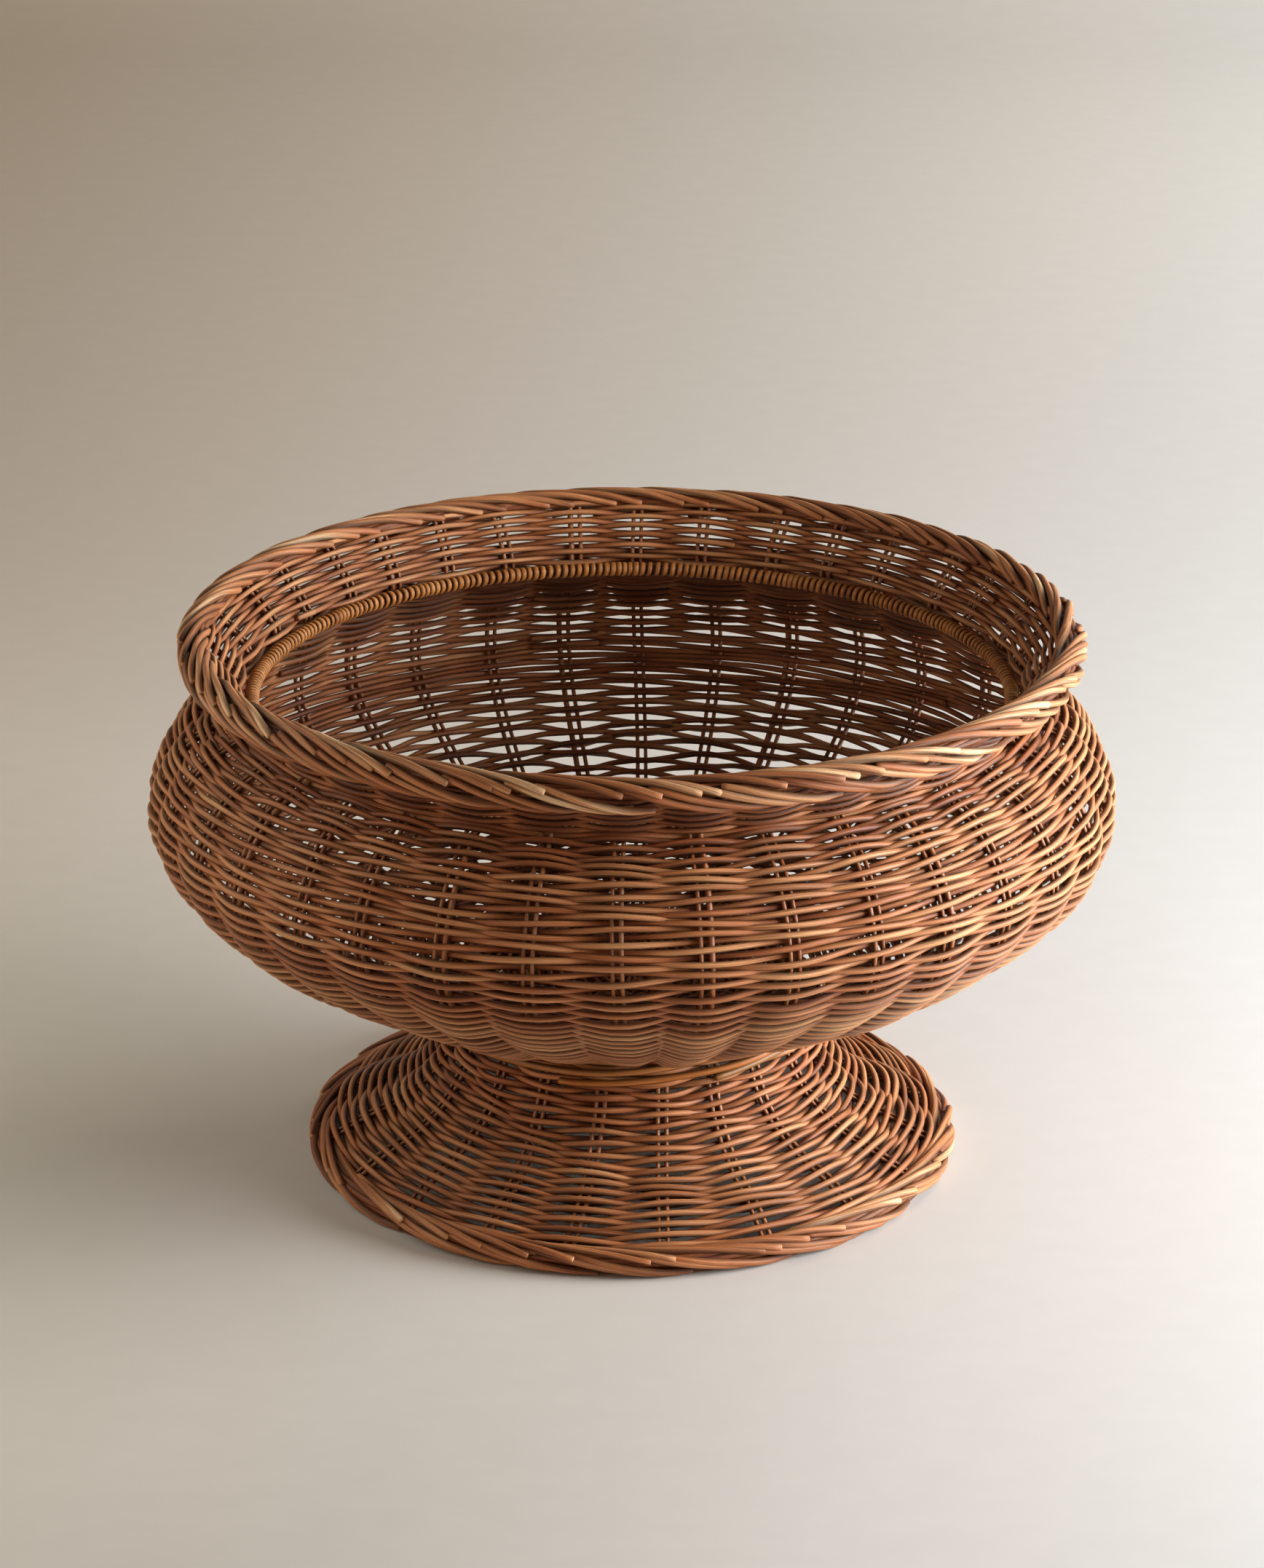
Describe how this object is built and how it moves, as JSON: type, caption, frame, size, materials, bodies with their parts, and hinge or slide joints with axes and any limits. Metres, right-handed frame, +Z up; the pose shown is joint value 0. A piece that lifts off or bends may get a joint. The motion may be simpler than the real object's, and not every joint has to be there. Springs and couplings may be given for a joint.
{
  "type": "footed basket",
  "caption": "Round footed centrepiece basket in woven rattan: wide bowl, narrowed neck, flared collar with a plaited rim, on a flared woven foot.",
  "frame": {"origin": "on the floor, in the middle of the foot's underside", "axes": "+Z up along the basket's axis of turning; +Y away from the camera of the picture, +X to its right"},
  "size_m": [0.43, 0.4268, 0.2507],
  "materials": {
    "woven_rattan": "round rattan weave, reddish brown stain, satin",
    "rattan_rod": "round rattan rod, brown stain, satin",
    "wrapping_cane": "flat split cane, honey coloured, semi-gloss",
    "plaited_rattan": "plaited round rattan, honey to reddish brown, satin"
  },
  "bodies": {
    "root": {"base_disc": "woven_rattan", "bowl_weave": "woven_rattan", "collar_weave": "woven_rattan", "foot_weave": "woven_rattan", "bowl_stake_01": "rattan_rod", "bowl_stake_02": "rattan_rod", "bowl_stake_03": "rattan_rod", "bowl_stake_04": "rattan_rod", "bowl_stake_05": "rattan_rod", "bowl_stake_06": "rattan_rod", "bowl_stake_07": "rattan_rod", "bowl_stake_08": "rattan_rod", "bowl_stake_09": "rattan_rod", "bowl_stake_10": "rattan_rod", "bowl_stake_11": "rattan_rod", "bowl_stake_12": "rattan_rod", "bowl_stake_13": "rattan_rod", "bowl_stake_14": "rattan_rod", "bowl_stake_15": "rattan_rod", "bowl_stake_16": "rattan_rod", "bowl_stake_17": "rattan_rod", "bowl_stake_18": "rattan_rod", "bowl_stake_19": "rattan_rod", "bowl_stake_20": "rattan_rod", "bowl_stake_21": "rattan_rod", "bowl_stake_22": "rattan_rod", "bowl_stake_23": "rattan_rod", "bowl_stake_24": "rattan_rod", "bowl_stake_25": "rattan_rod", "bowl_stake_26": "rattan_rod", "bowl_stake_27": "rattan_rod", "bowl_stake_28": "rattan_rod", "bowl_stake_29": "rattan_rod", "bowl_stake_30": "rattan_rod", "bowl_stake_31": "rattan_rod", "bowl_stake_32": "rattan_rod", "bowl_stake_33": "rattan_rod", "bowl_stake_34": "rattan_rod", "bowl_stake_35": "rattan_rod", "bowl_stake_36": "rattan_rod", "frame_rod_01": "rattan_rod", "frame_rod_02": "rattan_rod", "frame_rod_03": "rattan_rod", "frame_rod_04": "rattan_rod", "frame_rod_05": "rattan_rod", "frame_rod_06": "rattan_rod", "frame_rod_07": "rattan_rod", "frame_rod_08": "rattan_rod", "frame_rod_09": "rattan_rod", "frame_rod_10": "rattan_rod", "frame_rod_11": "rattan_rod", "frame_rod_12": "rattan_rod", "foot_stakes": "rattan_rod", "neck_hoop": "rattan_rod", "waist_ring": "rattan_rod", "neck_wrap": "wrapping_cane", "rim_border": "plaited_rattan", "foot_border": "plaited_rattan"}
  },
  "joints": []
}
